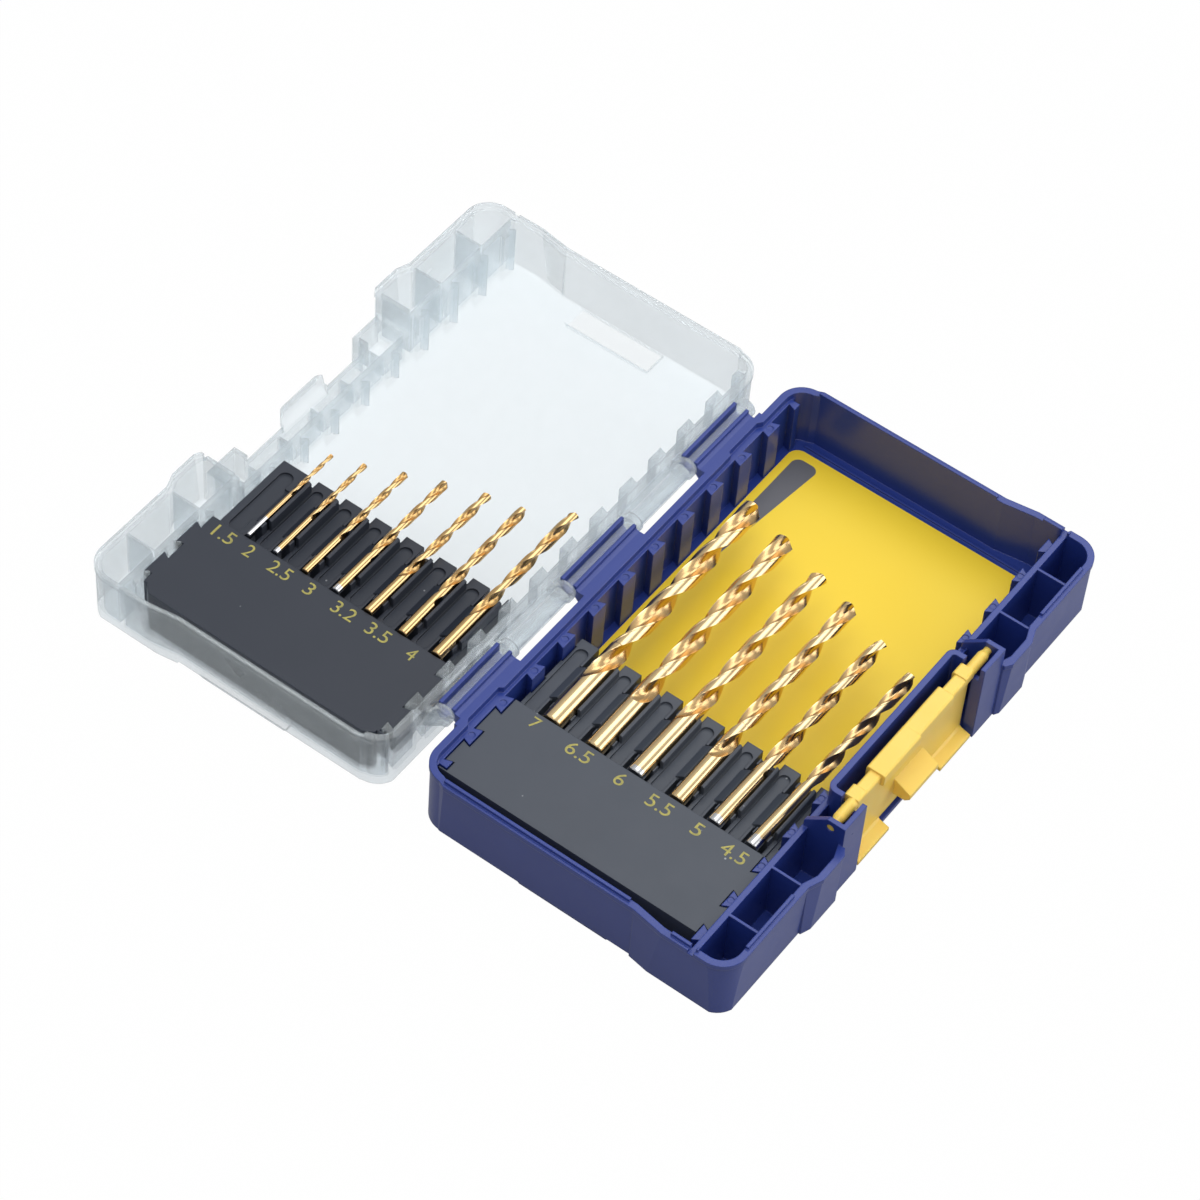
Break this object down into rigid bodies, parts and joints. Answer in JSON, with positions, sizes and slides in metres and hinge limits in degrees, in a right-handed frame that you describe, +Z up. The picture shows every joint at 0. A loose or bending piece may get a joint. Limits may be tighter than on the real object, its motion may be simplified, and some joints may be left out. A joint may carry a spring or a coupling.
{
  "type": "drill bit case",
  "caption": "Hinged plastic case for twist drills, lying open: tray base, clear lid, swinging front latch and clip holders in both halves.",
  "frame": {"origin": "centre of the underside of the base, on the plane its feet rest on", "axes": "+X along the case to the ends of the drills, +Y from the latch to the hinge and the open lid, +Z up"},
  "size_m": [0.2, 0.2444, 0.0337],
  "materials": {
    "blue_plastic": "satin",
    "clear_plastic": "clear",
    "yellow_plastic": "satin",
    "grey_plastic": "matte",
    "yellow_card": "satin",
    "coated_steel": "gold coloured coating"
  },
  "bodies": {
    "base": {"base_shell": "blue_plastic", "base_bit_holder": "grey_plastic", "insert_card": "yellow_card"},
    "lid": {"lid_shell": "clear_plastic", "lid_bit_holder": "grey_plastic"},
    "latch": {"latch": "yellow_plastic"},
    "drill_7_0": {"drill_bit_7_0": "coated_steel"},
    "drill_6_5": {"drill_bit_6_5": "coated_steel"},
    "drill_6_0": {"drill_bit_6_0": "coated_steel"},
    "drill_5_5": {"drill_bit_5_5": "coated_steel"},
    "drill_5_0": {"drill_bit_5_0": "coated_steel"},
    "drill_4_5": {"drill_bit_4_5": "coated_steel"},
    "drill_4_0": {"drill_bit_4_0": "coated_steel"},
    "drill_3_5": {"drill_bit_3_5": "coated_steel"},
    "drill_3_2": {"drill_bit_3_2": "coated_steel"},
    "drill_3_0": {"drill_bit_3_0": "coated_steel"},
    "drill_2_5": {"drill_bit_2_5": "coated_steel"},
    "drill_2_0": {"drill_bit_2_0": "coated_steel"},
    "drill_1_5": {"drill_bit_1_5": "coated_steel"}
  },
  "joints": [
    {"name": "lid_hinge", "type": "hinge", "parent": "base", "child": "lid", "pos_m": [0, 0.0628, 0.0247], "axis": [-1, 0, 0], "range_deg": [-180, 0]},
    {"name": "latch_hinge", "type": "hinge", "parent": "base", "child": "latch", "pos_m": [0, -0.052, 0.0306], "axis": [-1, 0, 0], "range_deg": [0, 100]},
    {"name": "drill_7_0_lift", "type": "slide", "parent": "base", "child": "drill_7_0", "axis": [0, 0, 1], "range_m": [0, 0.012]},
    {"name": "drill_6_5_lift", "type": "slide", "parent": "base", "child": "drill_6_5", "axis": [0, 0, 1], "range_m": [0, 0.012]},
    {"name": "drill_6_0_lift", "type": "slide", "parent": "base", "child": "drill_6_0", "axis": [0, 0, 1], "range_m": [0, 0.012]},
    {"name": "drill_5_5_lift", "type": "slide", "parent": "base", "child": "drill_5_5", "axis": [0, 0, 1], "range_m": [0, 0.012]},
    {"name": "drill_5_0_lift", "type": "slide", "parent": "base", "child": "drill_5_0", "axis": [0, 0, 1], "range_m": [0, 0.012]},
    {"name": "drill_4_5_lift", "type": "slide", "parent": "base", "child": "drill_4_5", "axis": [0, 0, 1], "range_m": [0, 0.012]},
    {"name": "drill_4_0_lift", "type": "slide", "parent": "lid", "child": "drill_4_0", "axis": [0, 0, 1], "range_m": [0, 0.012]},
    {"name": "drill_3_5_lift", "type": "slide", "parent": "lid", "child": "drill_3_5", "axis": [0, 0, 1], "range_m": [0, 0.012]},
    {"name": "drill_3_2_lift", "type": "slide", "parent": "lid", "child": "drill_3_2", "axis": [0, 0, 1], "range_m": [0, 0.012]},
    {"name": "drill_3_0_lift", "type": "slide", "parent": "lid", "child": "drill_3_0", "axis": [0, 0, 1], "range_m": [0, 0.012]},
    {"name": "drill_2_5_lift", "type": "slide", "parent": "lid", "child": "drill_2_5", "axis": [0, 0, 1], "range_m": [0, 0.012]},
    {"name": "drill_2_0_lift", "type": "slide", "parent": "lid", "child": "drill_2_0", "axis": [0, 0, 1], "range_m": [0, 0.012]},
    {"name": "drill_1_5_lift", "type": "slide", "parent": "lid", "child": "drill_1_5", "axis": [0, 0, 1], "range_m": [0, 0.012]}
  ]
}
